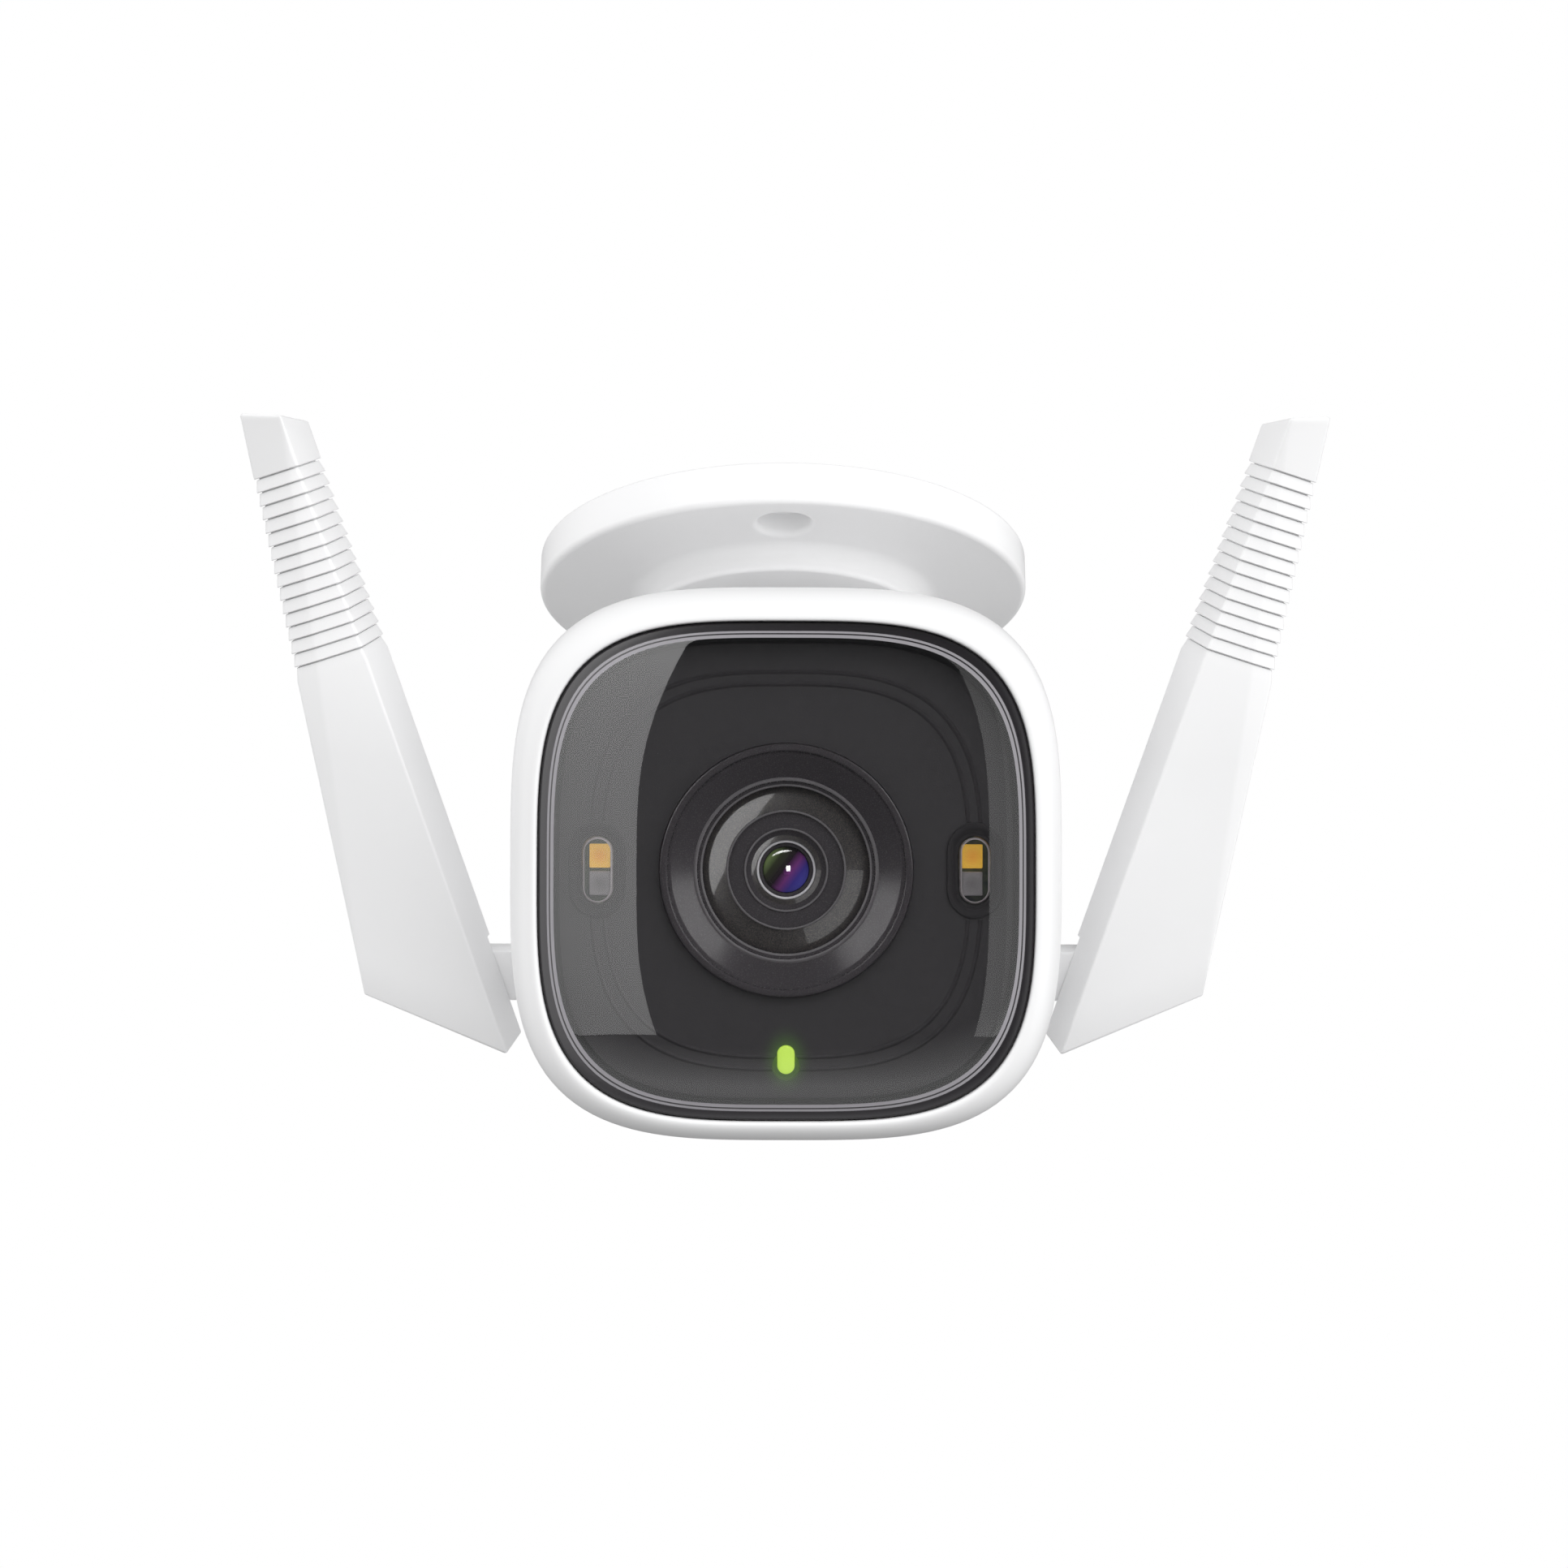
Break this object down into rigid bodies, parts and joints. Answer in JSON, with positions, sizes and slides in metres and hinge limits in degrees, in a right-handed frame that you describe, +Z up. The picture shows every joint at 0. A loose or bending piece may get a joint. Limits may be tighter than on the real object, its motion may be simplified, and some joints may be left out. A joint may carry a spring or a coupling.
{
  "type": "security camera",
  "caption": "White ceiling-hung outdoor security camera with a smoked square window, light windows either side of the lens and two folding antennas.",
  "frame": {"origin": "centre of the ceiling plate's upper face, which rests on the ceiling", "axes": "+Z up, out of the ceiling plate; the camera looks along -Y; +X to the right seen from the front"},
  "size_m": [0.135, 0.1045, 0.0917],
  "materials": {
    "white_plastic": "fine satin moulded plastic",
    "black_rubber": "soft rubber",
    "bearing_plastic": "natural bearing plastic",
    "steel": "stainless",
    "dark_plastic": "glass-filled plastic",
    "smoked_glass": "glossy smoked pane",
    "black_plate": "satin black",
    "lens_glass": "coated lens",
    "light_cover": "clear",
    "white_led": "phosphor",
    "infrared_led": "clear epoxy over a grey chip",
    "circuit_board": "solder mask",
    "green_light": "lit light pipe",
    "sensor": "sensor glass",
    "aluminium": "extruded",
    "gold": "plated"
  },
  "bodies": {
    "base": {"base_plate": "white_plastic", "ceiling_pad": "black_rubber", "pan_bush": "bearing_plastic"},
    "stem": {"ball_stem": "white_plastic", "pan_washer": "steel", "pan_screw": "steel"},
    "head": {"rear_shell": "white_plastic", "front_ring": "white_plastic", "housing_gasket": "black_rubber", "housing_screws": "steel", "socket_cup": "dark_plastic", "socket_cap": "dark_plastic", "clamp_screws": "steel", "front_window": "smoked_glass", "window_gasket": "black_rubber", "face_plate": "black_plate", "lens_surround": "black_plate", "lens_barrel": "black_plate", "front_lens": "lens_glass", "inner_lens": "lens_glass", "lens_mount": "dark_plastic", "ir_cut_frame": "dark_plastic", "image_sensor": "sensor", "sensor_board": "circuit_board", "left_light_bezel": "black_plate", "right_light_bezel": "black_plate", "left_light_cover": "light_cover", "right_light_cover": "light_cover", "white_leds": "white_led", "infrared_leds": "infrared_led", "light_board": "circuit_board", "status_led": "green_light", "status_light_pipe": "green_light", "microphone": "gold", "microphone_boot": "black_rubber", "main_board": "circuit_board", "heat_spreader": "aluminium", "radio_shield": "steel", "card_socket": "steel", "board_screws": "steel", "speaker": "dark_plastic", "cover_pin": "steel", "cable_gland": "black_rubber", "antenna_leads": "dark_plastic"},
    "left_hub": {"left_antenna_hub": "white_plastic", "left_hub_seal": "black_rubber", "left_hub_clip": "steel"},
    "right_hub": {"right_antenna_hub": "white_plastic", "right_hub_seal": "black_rubber", "right_hub_clip": "steel"},
    "left_antenna": {"left_antenna_blade": "white_plastic", "left_hinge_pin": "steel", "left_radiator": "gold"},
    "right_antenna": {"right_antenna_blade": "white_plastic", "right_hinge_pin": "steel", "right_radiator": "gold"},
    "cover": {"card_cover": "white_plastic"},
    "card": {"memory_card": "dark_plastic"},
    "reset": {"reset_button": "white_plastic"},
    "filter": {"ir_cut_slider": "lens_glass"}
  },
  "joints": [
    {"name": "pan", "type": "hinge", "parent": "base", "child": "stem", "pos_m": [0, 0, -0.0297], "axis": [0, 0, 1], "range_deg": [-175, 175]},
    {"name": "tilt", "type": "hinge", "parent": "stem", "child": "head", "pos_m": [0, 0, -0.0297], "axis": [1, 0, 0], "range_deg": [-20, 70]},
    {"name": "left_swivel", "type": "hinge", "parent": "head", "child": "left_hub", "pos_m": [-0.03, -0.01728, -0.06642], "axis": [1, 0, 0], "range_deg": [-90, 90]},
    {"name": "right_swivel", "type": "hinge", "parent": "head", "child": "right_hub", "pos_m": [0.03, -0.01728, -0.06642], "axis": [1, 0, 0], "range_deg": [-90, 90]},
    {"name": "left_fold", "type": "hinge", "parent": "left_hub", "child": "left_antenna", "pos_m": [-0.04364, -0.01728, -0.06642], "axis": [0, -0.8788, -0.4772], "range_deg": [-17.9, 72.1]},
    {"name": "right_fold", "type": "hinge", "parent": "right_hub", "child": "right_antenna", "pos_m": [0.04364, -0.01728, -0.06642], "axis": [0, 0.8788, 0.4772], "range_deg": [-17.9, 72.1]},
    {"name": "cover_hinge", "type": "hinge", "parent": "head", "child": "cover", "pos_m": [0, 0.00112, -0.07232], "axis": [1, 0, 0], "range_deg": [0, 90]},
    {"name": "card_push", "type": "slide", "parent": "head", "child": "card", "axis": [0, -0.284, 0.9588], "range_m": [0, 0.0008], "stiffness_N_per_m": 400, "springref_m": -0.0003},
    {"name": "reset_push", "type": "slide", "parent": "head", "child": "reset", "axis": [0, -0.284, 0.9588], "range_m": [0, 0.0006], "stiffness_N_per_m": 500, "springref_m": -0.0004},
    {"name": "filter_slide", "type": "slide", "parent": "head", "child": "filter", "axis": [1, 0, 0], "range_m": [-0.002, 0.002]}
  ]
}
